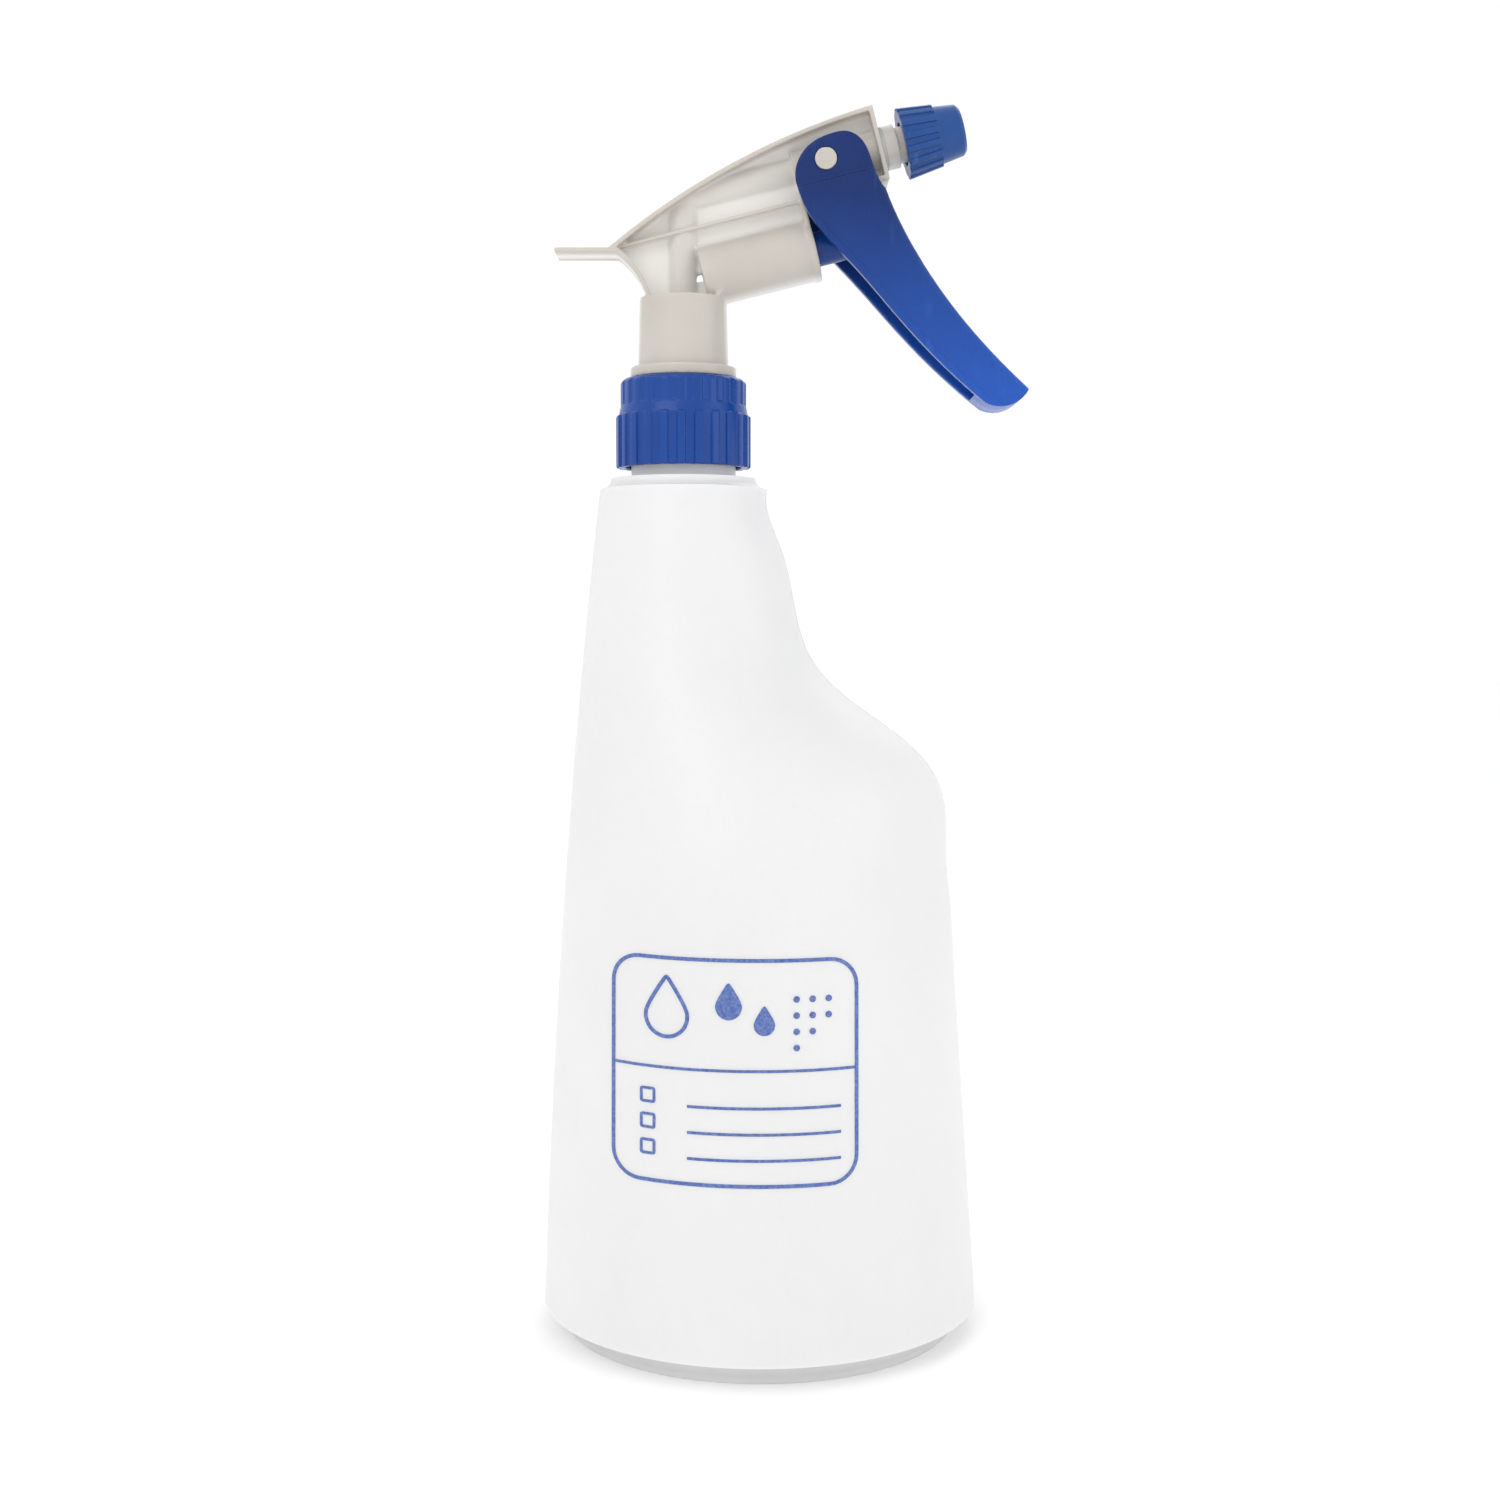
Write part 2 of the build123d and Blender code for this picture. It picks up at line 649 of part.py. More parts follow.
with BuildPart() as piston_seal:
    turn_along(cylinder_level, [
        (piston_back_u, seal_inner + gap), (piston_back_u, seal_inner + gap + seal_lip / 2),
        (piston_back_u - seal_lip / 2, cylinder_bore - seal_gap),
        (piston_back_u + seal_lip, cylinder_bore - seal_gap),
        (piston_back_u + 2 * seal_lip, cylinder_bore - 2 * piston_land_gap),
        (seal_front_u - 2 * seal_lip, cylinder_bore - 2 * piston_land_gap),
        (seal_front_u - seal_lip, cylinder_bore - seal_gap), (seal_front_u, cylinder_bore - seal_gap),
        (seal_front_u, seal_inner + gap),
    ])
piston_seal.part.label = "piston_seal"

piston_spring_length = shaft_front_u - piston_land - cylinder_end_u - 2 * gap
piston_spring = coil(spray_point(cylinder_end_u + gap, cylinder_level), spray, spring_radius, spring_wire,
                     piston_spring_length, spring_turns)
piston_spring.label = "piston_spring"

# ------------------------------------------------------------------ trigger
lever_rear = [(-8.1, -4.6), (-6.4, -13.2), (-0.4, -24.6), (8.6, -41.6), (23.4, -64.6)]
lever_front = [(34.4, -63.6), (22.3, -42.9), (14.2, -20.9), (12.2, -10.3)]
ear_top = [(12.2, -10.3), (10.3, -1.8), (9.3, 2.2), (6.9, 4.8), (2.2, 5.4), (-2.4, 4.4), (-6.0, 1.8),
           (-8.1, -4.6)]
tip_bottom = (28.6, -66.4)
tip_drop = 1.9
rim_top_v = -13.0
finger_round = 1.6
inner_front_drop = 2.2
back_u = -30
past_all = 90


def contact_point(angle):
    """Where the trigger, drawn at rest, meets the piston's nose when it is pulled by that angle.

    The nose travels straight along v = cylinder_level, in step with the trigger, so the face that
    pushes it is the involute of the circle about the pivot that touches the nose's line of travel.
    """
    u = nose_tip_u + push_gap + cylinder_level * angle
    return (
        u * cos(angle) - cylinder_level * sin(angle),
        u * sin(angle) + cylinder_level * cos(angle),
    )


def breadth(high, low):
    """The trigger's breadth seen along the spray: half of it is high at the ears and low at the tip."""
    with BuildSketch(Plane(origin=spray_point(back_u, 0), x_dir=(0, 1, 0), z_dir=spray)) as front:
        with BuildLine():
            Polyline((-low, -70), (low, -70), (high, taper_v),
                     (high, 20), (-high, 20), (-high, taper_v), close=True)
        make_face()
    return front.sketch


with BuildSketch(spray_view) as lever_side:
    with BuildLine():
        Spline(*lever_rear)
        ThreePointArc(lever_rear[-1], tip_bottom, lever_front[0])
        Spline(*lever_front)
        Spline(*ear_top)
    make_face()

with BuildSketch(spray_view) as rear_band:
    add(lever_side.sketch_local)
    with Locations((lever_rim, 0)):
        add(lever_side.sketch_local, mode=Mode.SUBTRACT)
    with Locations((0, rim_top_v)):
        Rectangle(120, 80, align=(Align.CENTER, Align.MAX), mode=Mode.INTERSECT)

with BuildPart() as channel:
    # the hollow between the trigger's walls, open behind and, above the finger wall, in front
    wall_top = lever_front[-1][1]
    with BuildSketch(spray_view) as hollow:
        with BuildLine():
            inner_wall = [(u - inner_front_drop, v) for u, v in lever_front[1:]]
            inner_wall.insert(0, (lever_front[0][0] - 2 * inner_front_drop, lever_front[0][1] + tip_drop))
            Spline(*inner_wall)
            Polyline(inner_wall[-1], (20, wall_top), (20, 10), (-20, 10),
                     (-20, inner_wall[0][1]), inner_wall[0])
        make_face()
    extrude(hollow.sketch, amount=lever_outside, both=True)
    extrude(breadth(ear_inside, tip_half_width - lever_wall), amount=past_all, mode=Mode.INTERSECT)

with BuildPart() as rear_rim:
    # the raised band along the walls' rear edges
    extrude(rear_band.sketch, amount=lever_outside + rim_height, both=True)
    extrude(breadth(lever_outside + rim_height, tip_half_width + rim_height), amount=past_all,
            mode=Mode.INTERSECT)

with BuildPart() as trigger:
    extrude(lever_side.sketch, amount=lever_outside, both=True)
    extrude(breadth(lever_outside, tip_half_width), amount=past_all, mode=Mode.INTERSECT)
    finger_faces = trigger.faces().filter_by(GeomType.EXTRUSION).sort_by(Axis(spray_point(0, 0), spray))[-2:]
    finger_edges = finger_faces.edges().filter_by(GeomType.BSPLINE)
    fillet(finger_edges.filter_by(lambda edge: abs(edge.center().Y) > tip_half_width / 2), finger_round)
    add(rear_rim.part)
    add(channel.part, mode=Mode.SUBTRACT)
    for side in (-1, 1):
        with BuildSketch(spray_view.offset(side * ear_outside)) as shave:
            with Locations((0, step_v + 20)):
                Rectangle(60, 40)
        extrude(shave.sketch, amount=side * 10, mode=Mode.SUBTRACT)
    # the pad that pushes the piston
    with BuildSketch(spray_view) as pad:
        with BuildLine():
            shares = (-0.4, 0, 0.35, 0.7, 1, 1.4)
            face_points = [contact_point(radians(trigger_angle) * share) for share in shares]
            Spline(*face_points)
            pad_front_u = lever_front[-2][0] - finger_wall / 2
            Polyline(face_points[-1], (pad_front_u - pad_slope, face_points[-1][1]),
                     (pad_front_u, face_points[0][1]), face_points[0])
        make_face()
    extrude(pad.sketch, amount=push_pad_width / 2, both=True)
    with BuildSketch(spray_view) as pin_hole:
        Circle(boss_radius + gap)
    extrude(pin_hole.sketch, amount=2 * lever_outside, both=True, mode=Mode.SUBTRACT)
trigger.part.label = "trigger"

# ------------------------------------------------------------------ nozzle
base_flange_u = front_u + base_gasket_thickness + 2 * gap
flange_front_u = base_flange_u + base_flange_length
spigot_back_u = spigot_front_u - spigot_length
nozzle_thread_u = spigot_back_u - nozzle_thread_end
nozzle_base_thread = helix_ridge(
    spray_point(nozzle_thread_u - nozzle_pitch * nozzle_turns, barrel_level), spray, nozzle_root,
    nozzle_thread_depth, nozzle_pitch, nozzle_turns, nozzle_thread_root, nozzle_thread_crest,
)
ring_u = spigot_front_u - spigot_length / 2

with BuildPart() as base_gasket:
    turn_along(barrel_level, [
        (front_u + gap, plug_radius + gap), (front_u + gap, base_flange_radius),
        (front_u + gap + base_gasket_thickness, base_flange_radius),
        (front_u + gap + base_gasket_thickness, plug_radius + gap),
    ])
base_gasket.part.label = "base_gasket"

with BuildPart() as nozzle_base:
    turn_along(barrel_level, [
        (plug_back_u + gap, 0), (plug_back_u + gap, plug_radius), (base_flange_u, plug_radius),
        (base_flange_u, base_flange_radius), (flange_front_u, base_flange_radius),
        (flange_front_u, nozzle_root),
        (spigot_back_u, nozzle_root), (spigot_back_u, spigot_radius), (ring_u - spigot_groove, spigot_radius),
        (ring_u - spigot_groove, spigot_radius - spigot_groove),
        (ring_u + spigot_groove, spigot_radius - spigot_groove),
        (ring_u + spigot_groove, spigot_radius), (spigot_front_u, spigot_radius), (spigot_front_u, 0),
    ])
    add(nozzle_base_thread)
    turn_along(barrel_level, [
        (plug_back_u - 1, 0), (plug_back_u - 1, base_bore), (spigot_front_u - core_length, base_bore),
        (spigot_front_u - core_length, core_radius + gap), (spigot_front_u + 1, core_radius + gap),
        (spigot_front_u + 1, 0),
    ], Mode.SUBTRACT)
nozzle_base.part.label = "nozzle_base"

with BuildPart() as swirl_core:
    turn_along(barrel_level, [(spigot_front_u - core_length + gap, 0),
                              (spigot_front_u - core_length + gap, core_radius),
                              (spigot_front_u, core_radius), (spigot_front_u, 0)])
    with Locations(Plane(origin=spray_point(spigot_front_u - core_length / 2, barrel_level), z_dir=spray)):
        with PolarLocations(core_radius, 3):
            Box(core_groove * 2, core_groove, 2 * core_length, mode=Mode.SUBTRACT)
swirl_core.part.label = "swirl_core"

with BuildPart() as nozzle_ring:
    ring_wire = spigot_groove - gap
    with Locations(Plane(origin=spray_point(ring_u, barrel_level), z_dir=spray)):
        Torus(spigot_radius - spigot_groove + gap + ring_wire, ring_wire)
nozzle_ring.part.label = "nozzle_ring"

disc_u = spigot_front_u + 2 * gap
with BuildPart() as orifice_disc:
    turn_along(barrel_level, [(disc_u, orifice_radius), (disc_u, nozzle_front_bore - gap),
                              (disc_u + disc_thickness, nozzle_front_bore - gap),
                              (disc_u + disc_thickness, orifice_radius)])
orifice_disc.part.label = "orifice_disc"

nozzle_bore = nozzle_root + nozzle_thread_depth + thread_gap
nozzle_front_u = cap_back_u + nozzle_length
inner_front_u = disc_u + disc_thickness + 2 * gap
step_u = spigot_back_u + nozzle_step
nozzle_cap_thread = helix_ridge(
    spray_point(nozzle_thread_u - nozzle_pitch * (nozzle_turns - 0.5), barrel_level), spray, nozzle_bore,
    nozzle_thread_depth, nozzle_pitch, nozzle_turns - 1, nozzle_thread_root, nozzle_thread_crest, inward=True,
)

with BuildPart() as nozzle_cap:
    turn_along(barrel_level, [
        (cap_back_u, 0), (cap_back_u, nozzle_back_radius),
        (nozzle_front_u - nozzle_edge, nozzle_front_radius),
        (nozzle_front_u, nozzle_front_radius - nozzle_edge), (nozzle_front_u, 0),
    ])
    taper = degrees(atan2(nozzle_back_radius - nozzle_front_radius, nozzle_length))
    with Locations(Plane(origin=spray_point(cap_back_u, barrel_level), z_dir=spray)):
        with PolarLocations(nozzle_back_radius, nozzle_rib_count):
            with Locations(Location((0, 0, 0), (0, -taper, 0))):
                Box(2 * nozzle_rib_height, nozzle_rib_width, nozzle_rib_length,
                    align=(Align.CENTER, Align.CENTER, Align.MIN))
    turn_along(barrel_level, [
        (cap_back_u - 2, 0), (cap_back_u - 2, nozzle_bore), (step_u, nozzle_bore),
        (step_u, nozzle_front_bore), (inner_front_u, nozzle_front_bore), (inner_front_u, orifice_radius),
        (nozzle_front_u - orifice_flare / 2, orifice_radius), (nozzle_front_u, orifice_flare),
        (nozzle_front_u, 0),
    ], Mode.SUBTRACT)
    add(nozzle_cap_thread)
nozzle_cap.part.label = "nozzle_cap"

# ------------------------------------------------------------------ write the pieces
pieces = [
    bottle.part, screw_cap.part, neck_gasket.part, closure_insert.part, vent_flap.part, inlet_ball.part,
    dip_tube.part, strainer.part, sprayer_body.part, outlet_valve.part, outlet_spring, piston.part,
    piston_seal.part, piston_spring, trigger.part, base_gasket.part, nozzle_base.part, swirl_core.part,
    nozzle_ring.part, orifice_disc.part, nozzle_cap.part,
]
os.makedirs("parts", exist_ok=True)
for piece in pieces:
    export_step(piece, f"parts/{piece.label}.step")
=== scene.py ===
import json
from math import pi, radians

import bpy
from mathutils import Matrix, Vector

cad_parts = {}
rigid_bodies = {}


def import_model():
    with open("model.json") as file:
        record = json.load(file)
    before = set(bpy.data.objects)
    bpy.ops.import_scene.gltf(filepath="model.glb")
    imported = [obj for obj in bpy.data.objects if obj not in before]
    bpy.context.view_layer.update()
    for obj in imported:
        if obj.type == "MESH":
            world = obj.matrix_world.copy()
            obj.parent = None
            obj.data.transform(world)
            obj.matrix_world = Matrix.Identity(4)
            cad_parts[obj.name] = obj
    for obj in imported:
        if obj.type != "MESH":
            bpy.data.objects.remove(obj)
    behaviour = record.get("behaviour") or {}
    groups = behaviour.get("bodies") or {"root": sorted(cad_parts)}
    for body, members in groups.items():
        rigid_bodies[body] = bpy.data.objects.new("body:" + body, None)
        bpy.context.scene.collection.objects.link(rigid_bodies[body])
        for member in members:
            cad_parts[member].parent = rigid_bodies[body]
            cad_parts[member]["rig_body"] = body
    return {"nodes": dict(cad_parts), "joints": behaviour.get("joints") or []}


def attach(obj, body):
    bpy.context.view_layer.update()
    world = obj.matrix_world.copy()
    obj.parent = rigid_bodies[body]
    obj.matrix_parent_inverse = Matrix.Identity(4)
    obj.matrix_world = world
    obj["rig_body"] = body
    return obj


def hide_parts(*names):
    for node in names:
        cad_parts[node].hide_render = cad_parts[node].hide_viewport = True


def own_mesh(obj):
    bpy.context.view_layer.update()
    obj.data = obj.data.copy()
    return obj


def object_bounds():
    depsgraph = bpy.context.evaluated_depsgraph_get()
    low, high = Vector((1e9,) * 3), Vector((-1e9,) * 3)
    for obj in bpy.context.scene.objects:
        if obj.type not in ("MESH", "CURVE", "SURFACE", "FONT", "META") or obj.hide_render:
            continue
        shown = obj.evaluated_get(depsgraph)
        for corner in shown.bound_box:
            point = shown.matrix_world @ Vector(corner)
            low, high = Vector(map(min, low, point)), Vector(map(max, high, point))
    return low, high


# Spray bottle: a white blow-moulded bottle, a blue screw cap, an off-white pump head and a blue trigger.
# Metres, +Z up, +X is the way it sprays, and the origin is the centre of the bottle's base.

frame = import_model()
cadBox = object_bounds()
nodes = frame["nodes"]
joints = {joint["name"]: joint for joint in frame["joints"]}
sprayAxis = Vector(joints["nozzle_advance"]["axis"]).normalized()
print("frame loaded with", len(nodes), "nodes")


# working habits: one active piece, and modifiers applied as soon as they are set

def deselectAll():
    if bpy.context.object and bpy.context.object.mode != "OBJECT":
        bpy.ops.object.mode_set(mode="OBJECT")
    bpy.ops.object.select_all(action="DESELECT")


def makeActive(piece):
    deselectAll()
    piece.select_set(True)
    bpy.context.view_layer.objects.active = piece


def editAll(piece, kind="VERT"):  # into edit mode with everything selected
    makeActive(piece)
    bpy.ops.object.mode_set(mode="EDIT")
    bpy.ops.mesh.select_mode(type=kind)
    bpy.ops.mesh.select_all(action="SELECT")


def leaveEdit():
    bpy.ops.object.mode_set(mode="OBJECT")


def startPiece(name):  # names the primitive that was just added
    piece = bpy.context.object
    piece.name = name
    piece.data.name = name
    return piece


def applyPlace(piece):
    makeActive(piece)
    bpy.ops.object.transform_apply(location=True, rotation=True, scale=True)


def applyModifier(piece, kind, **settings):
    makeActive(piece)
    modifier = piece.modifiers.new(kind.title(), kind)
    for setting, value in settings.items():
        setattr(modifier, setting, value)
    bpy.ops.object.modifier_apply(modifier=modifier.name)


def joinPieces(pieces, name):
    deselectAll()
    for piece in pieces:
        piece.select_set(True)
    bpy.context.view_layer.objects.active = pieces[0]
    bpy.ops.object.join()
    return startPiece(name)


def smoothShading(piece, angle=32):
    makeActive(piece)
    bpy.ops.object.shade_smooth_by_angle(angle=radians(angle))


mergeDistance = 0.000001


def copyOfNode(nodeName, pieceName):  # a merged copy of a frame part, free to be shaped
    piece = bpy.data.objects.new(pieceName, nodes[nodeName].data.copy())
    bpy.context.scene.collection.objects.link(piece)
    makeActive(piece)
    bpy.ops.mesh.customdata_custom_splitnormals_clear()
    editAll(piece)
    bpy.ops.mesh.remove_doubles(threshold=mergeDistance)
    leaveEdit()
    return piece


def softenEdges(piece, values):  # the small roundings that a mould leaves on every edge
    applyModifier(piece, "REMESH", mode="VOXEL", voxel_size=values["voxel"], adaptivity=0.0,
                  use_smooth_shade=True)
    applyModifier(piece, "SMOOTH", factor=0.5, iterations=values["passes"])
    squares = len(piece.data.polygons)
    applyModifier(piece, "DECIMATE", ratio=min(1.0, values["triangles"] / (2 * squares)))
    makeActive(piece)
    bpy.ops.object.shade_smooth()


def bodyOf(nodeName):
    return nodes[nodeName]["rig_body"]


# small steps in a material's node tree

def link(tree, value, socket):
    if isinstance(value, bpy.types.NodeSocket):
        tree.links.new(value, socket)
    elif isinstance(value, (tuple, list)) and socket.type == "RGBA":
        socket.default_value = (*value[:3], 1.0)
    else:
        socket.default_value = value


def addNode(tree, kind, output, inputs, **settings):
    node = tree.nodes.new("ShaderNode" + kind)
    for setting, value in settings.items():
        setattr(node, setting, value)
    for name, value in inputs.items():
        link(tree, value, node.inputs[name])
    return node.outputs[output]


def noise(tree, place, scale, detail=2.0, roughness=0.5):
    return addNode(tree, "TexNoise", "Fac", {"Vector": place, "Scale": scale, "Detail": detail,
                                             "Roughness": roughness})


def calculate(tree, operation, first, second=0.0):
    return addNode(tree, "Math", 0, {0: first, 1: second}, operation=operation)


def remap(tree, value, span, result=(0.0, 1.0)):
    return addNode(tree, "MapRange", "Result", {"Value": value, "From Min": span[0], "From Max": span[1],
                                                "To Min": result[0], "To Max": result[1]})


def mixColour(tree, share, first, second):
    return addNode(tree, "Mix", 2, {0: share, 6: first, 7: second}, data_type="RGBA")


def mixValue(tree, share, first, second):
    return addNode(tree, "Mix", 0, {0: share, 2: first, 3: second}, data_type="FLOAT")


def stretched(tree, place, scale):
    return addNode(tree, "Mapping", "Vector", {"Vector": place, "Scale": scale})


def addBump(tree, shader, height, strength, depth):
    normal = addNode(tree, "Bump", "Normal", {"Strength": strength, "Distance": depth, "Height": height})
    link(tree, normal, shader.inputs["Normal"])


def newGroup(name, inputs, outputs):
    group = bpy.data.node_groups.new(name, "ShaderNodeTree")
    for label, kind, value in inputs:
        socket = group.interface.new_socket(name=label, in_out="INPUT", socket_type="NodeSocket" + kind)
        if value is not None:
            socket.default_value = value
    for label, kind in outputs:
        group.interface.new_socket(name=label, in_out="OUTPUT", socket_type="NodeSocket" + kind)
    return group, group.nodes.new("NodeGroupInput").outputs, group.nodes.new("NodeGroupOutput").inputs


def useGroup(tree, group, inputs):
    node = tree.nodes.new("ShaderNodeGroup")
    node.node_tree = group
    for name, value in inputs.items():
        link(tree, value, node.inputs[name])
    return node.outputs


# the shared effects

skinValues = {
    "cloudSpan": (0.35, 0.7), "cloudDetail": 3.0,
    "patchScale": 160.0, "patchDetail": 4.0, "patchRoughness": 0.6, "patchSpan": (0.3, 0.7),
    "grainRoughness": 0.6, "waveDetail": 1.0,
}


def makeMouldSkin(values):  # clouded colour, uneven gloss and the fine grain of a moulded face
    group, given, result = newGroup(
        "mouldSkin",
        [("Place", "Vector", None), ("Colour", "Color", (0.8, 0.8, 0.8, 1)),
         ("Cloud Colour", "Color", (0.7, 0.7, 0.7, 1)), ("Cloud Scale", "Float", 40.0),
         ("Grain Scale", "Float", 2200.0), ("Gloss", "Float", 0.35), ("Gloss Spread", "Float", 0.1),
         ("Wave Scale", "Float", 60.0), ("Wave Share", "Float", 0.5)],
        [("Colour", "Color"), ("Roughness", "Float"), ("Height", "Float")])
    place = given["Place"]
    clouds = noise(group, place, given["Cloud Scale"], values["cloudDetail"])
    clouds = remap(group, clouds, values["cloudSpan"])
    link(group, mixColour(group, clouds, given["Colour"], given["Cloud Colour"]), result["Colour"])
    patches = noise(group, place, values["patchScale"], values["patchDetail"], values["patchRoughness"])
    patches = remap(group, patches, values["patchSpan"], (-1.0, 1.0))
    spread = calculate(group, "MULTIPLY", patches, given["Gloss Spread"])
    link(group, calculate(group, "ADD", given["Gloss"], spread), result["Roughness"])
    grain = noise(group, place, given["Grain Scale"], roughness=values["grainRoughness"])
    wave = noise(group, place, given["Wave Scale"], values["waveDetail"])
    link(group, mixValue(group, given["Wave Share"], grain, wave), result["Height"])
    return group


markValues = {
    "streakStretch": (1.0, 1.0, 0.08), "streakSpan": (0.6, 0.72),
    "patchScale": 45.0, "patchSpan": (0.5, 0.68), "dullness": 0.5,
}


def makeHandlingMarks(values):  # fine scuffs and rubbed spots that lighten and dull a plastic
    group, given, result = newGroup(
        "handlingMarks",
        [("Place", "Vector", None), ("Colour", "Color", (0.5, 0.5, 0.5, 1)),
         ("Mark Colour", "Color", (0.9, 0.9, 0.9, 1)), ("Roughness", "Float", 0.35),
         ("Amount", "Float", 0.3), ("Streak Scale", "Float", 500.0)],
        [("Colour", "Color"), ("Roughness", "Float")])
    along = stretched(group, given["Place"], values["streakStretch"])
    streaks = remap(group, noise(group, along, given["Streak Scale"]), values["streakSpan"])
    patches = remap(group, noise(group, given["Place"], values["patchScale"]), values["patchSpan"])
    mask = calculate(group, "MULTIPLY", calculate(group, "MULTIPLY", streaks, patches), given["Amount"])
    link(group, mixColour(group, mask, given["Colour"], given["Mark Colour"]), result["Colour"])
    dull = calculate(group, "MULTIPLY", mask, values["dullness"])
    link(group, calculate(group, "ADD", given["Roughness"], dull), result["Roughness"])
    return group


mouldSkin = makeMouldSkin(skinValues)
handlingMarks = makeHandlingMarks(markValues)


# the materials

def startMaterial(name):
    material = bpy.data.materials.new(name)
    material.use_nodes = True
    tree = material.node_tree
    tree.nodes.clear()
    output = tree.nodes.new("ShaderNodeOutputMaterial")
    shader = tree.nodes.new("ShaderNodeBsdfPrincipled")
    tree.links.new(shader.outputs["BSDF"], output.inputs["Surface"])
    place = tree.nodes.new("ShaderNodeTexCoord").outputs["Object"]
    return material, tree, shader, place


usualPlastic = {
    "cloudScale": 40.0, "shine": 0.5, "translucence": 0.0, "scatter": (1.0, 1.0, 1.0), "scatterDepth": 0.003,
}


def makePlastic(name, ownLook):
    look = {**usualPlastic, **ownLook}
    material, tree, shader, place = startMaterial(name)
    skin = useGroup(tree, mouldSkin, {
        "Place": place, "Colour": look["colour"], "Cloud Colour": look["cloudColour"],
        "Cloud Scale": look["cloudScale"], "Grain Scale": look["grainScale"], "Gloss": look["roughness"],
        "Gloss Spread": look["glossSpread"], "Wave Scale": look["waveScale"],
        "Wave Share": look["waveShare"]})
    colour = skin["Colour"]
    if "paintedLightColour" in look:  # painted light: lower down the colour is painted brighter, for light through a thin wall, and higher up it stays darker as painted shade where the wall is backed
        height = addNode(tree, "SeparateXYZ", "Z", {"Vector": place})
        colour = mixColour(tree, remap(tree, height, look["paintedLightSpan"]), colour, look["paintedLightColour"])
    if "paintedWebLightColour" in look:  # painted light and shade: the thin web in the middle is painted paler than the thick walls beside it, for light shining through it, and the walls stay darker as painted shade
        across = calculate(tree, "ABSOLUTE", addNode(tree, "SeparateXYZ", "Y", {"Vector": place}))
        colour = mixColour(tree, remap(tree, across, look["paintedWebLightSpan"]), look["paintedWebLightColour"], colour)
    marks = useGroup(tree, handlingMarks, {
        "Place": place, "Colour": colour, "Mark Colour": look["markColour"],
        "Roughness": skin["Roughness"], "Amount": look["marks"]})
    link(tree, marks["Colour"], shader.inputs["Base Color"])
    link(tree, marks["Roughness"], shader.inputs["Roughness"])
    addBump(tree, shader, skin["Height"], look["bumpStrength"], look["bumpDepth"])
    shader.inputs["Specular IOR Level"].default_value = look["shine"]
    shader.inputs["Subsurface Weight"].default_value = look["translucence"]
    shader.inputs["Subsurface Radius"].default_value = look["scatter"]
    shader.inputs["Subsurface Scale"].default_value = look["scatterDepth"]
    return material


def makeSteel(name, look):
    material, tree, shader, place = startMaterial(name)
    drawn = noise(tree, stretched(tree, place, look["drawScale"]), look["lineScale"], look["lineDetail"],
                  look["lineRoughness"])
    stain = remap(tree, noise(tree, place, look["stainScale"]), look["stainSpan"])
    link(tree, mixColour(tree, stain, look["colour"], look["stainColour"]), shader.inputs["Base Color"])
    link(tree, remap(tree, drawn, look["lineSpan"], look["roughness"]), shader.inputs["Roughness"])
    addBump(tree, shader, drawn, look["bumpStrength"], look["bumpDepth"])
    shader.inputs["Metallic"].default_value = 1.0
    return material


def makeInk(name, look):  # screen-printed ink: slightly uneven cover with a dry, flat face
    material, tree, shader, place = startMaterial(name)
    cover = noise(tree, place, look["coverScale"], look["coverDetail"], look["coverRoughness"])
    cover = remap(tree, cover, look["coverSpan"])
    fine = noise(tree, place, look["fineScale"])
    link(tree, mixColour(tree, cover, look["thinColour"], look["colour"]), shader.inputs["Base Color"])
    link(tree, remap(tree, fine, look["fineSpan"], look["roughness"]), shader.inputs["Roughness"])
    addBump(tree, shader, fine, look["bumpStrength"], look["bumpDepth"])
    return material


bottlePlastic = makePlastic("bottlePlastic", {
    "colour": (0.762, 0.759, 0.764), "cloudColour": (0.735, 0.735, 0.74), "cloudScale": 22.0,
    "markColour": (0.66, 0.67, 0.69), "marks": 0.12, "roughness": 0.42, "glossSpread": 0.05,
    "grainScale": 1500.0, "waveScale": 38.0, "waveShare": 0.8, "bumpStrength": 0.25, "bumpDepth": 0.0012,
    "translucence": 0.3, "scatterDepth": 0.004,
})
capBlue = makePlastic("capBlue", {
    "colour": (0.003, 0.045, 0.25), "cloudColour": (0.005, 0.058, 0.30), "markColour": (0.08, 0.2, 0.6),
    "marks": 0.3, "shine": 0.3, "roughness": 0.26, "glossSpread": 0.06, "grainScale": 2600.0,
    "waveScale": 90.0, "waveShare": 0.35, "bumpStrength": 0.2, "bumpDepth": 0.0001,
})
nozzleBlue = makePlastic("nozzleBlue", {
    "colour": (0.006, 0.05, 0.22), "cloudColour": (0.01, 0.066, 0.26), "markColour": (0.12, 0.25, 0.6),
    "marks": 0.3, "shine": 0.35, "roughness": 0.3, "glossSpread": 0.06, "grainScale": 2600.0,
    "waveScale": 90.0, "waveShare": 0.35, "bumpStrength": 0.2, "bumpDepth": 0.0001,
})
triggerBlue = makePlastic("triggerBlue", {
    "colour": (0.001, 0.020, 0.125), "cloudColour": (0.002, 0.027, 0.155),
    # painted light on the lower lever, painted shade on the ear above it
    "paintedLightColour": (0.012, 0.085, 0.43), "paintedLightSpan": (0.272, 0.224),
    "markColour": (0.10, 0.24, 0.62), "marks": 0.2, "shine": 0.28, "roughness": 0.3,
    "glossSpread": 0.06, "grainScale": 2400.0, "waveScale": 70.0, "waveShare": 0.45,
    "bumpStrength": 0.22, "bumpDepth": 0.00015, "translucence": 0.12, "scatter": (0.1, 0.3, 1.0),
    "scatterDepth": 0.002,
})
